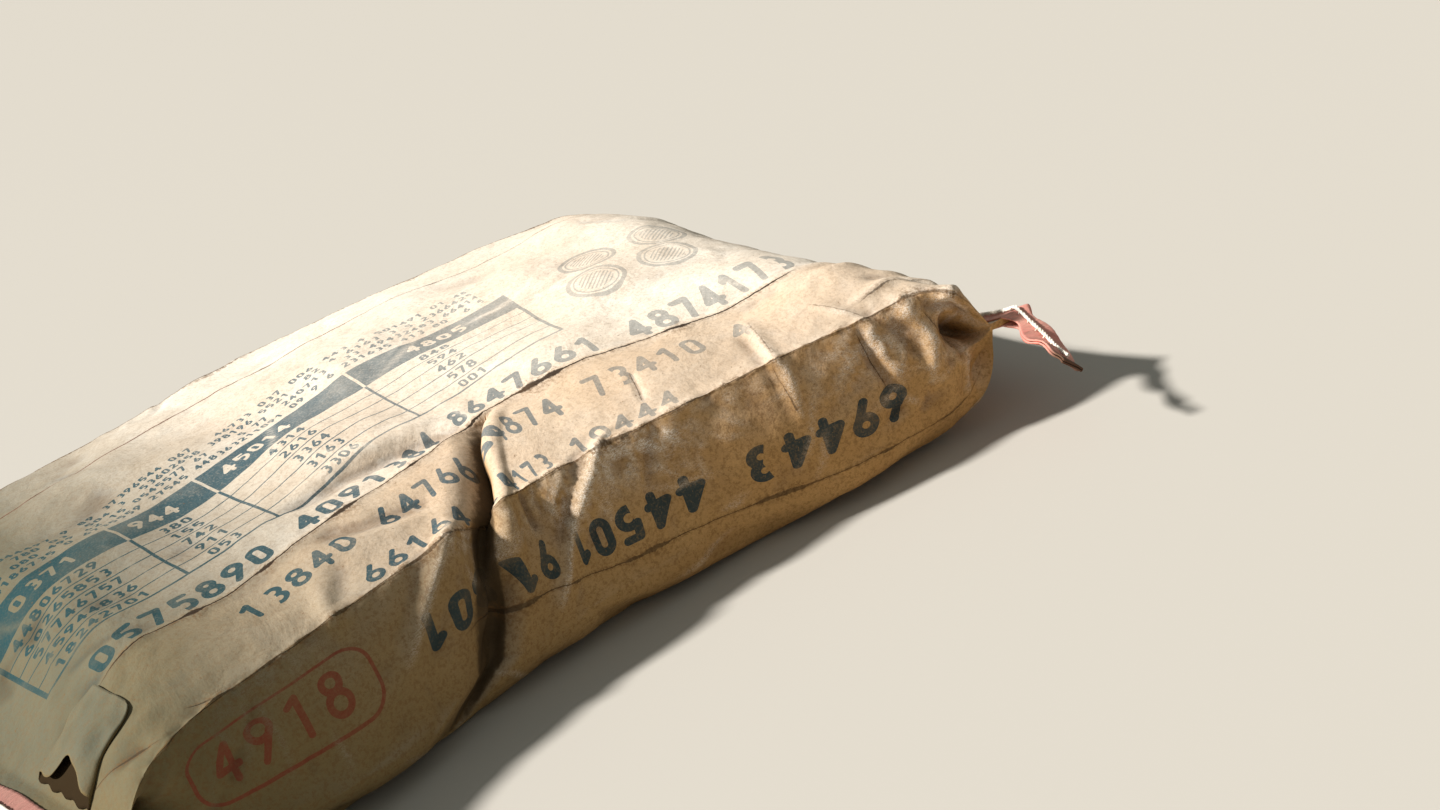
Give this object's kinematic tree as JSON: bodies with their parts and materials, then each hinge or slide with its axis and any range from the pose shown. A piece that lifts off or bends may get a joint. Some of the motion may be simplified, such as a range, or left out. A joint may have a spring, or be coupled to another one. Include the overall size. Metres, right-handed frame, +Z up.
{
  "type": "cement bag",
  "caption": "Filled 50 kg paper cement sack lying flat, gusseted sides, both ends sewn shut through folded crepe tape with loose tails.",
  "frame": {"origin": "middle of the flat face that the sack lies on", "axes": "+X along the sack away from the end with the valve, +Y away from the buckled side, +Z up"},
  "size_m": [0.8334, 0.5872, 0.1414],
  "materials": {
    "kraft_paper": "brown kraft paper, matt, dusted with cement",
    "crepe_tape": "red-pink crepe paper tape, matt",
    "sewing_thread": "off-white spun thread"
  },
  "bodies": {
    "root": {"kraft_sack": "kraft_paper", "valve_sleeve": "kraft_paper", "far_end_tape": "crepe_tape", "near_end_tape": "crepe_tape", "far_end_thread": "sewing_thread", "near_end_thread": "sewing_thread"}
  },
  "joints": []
}
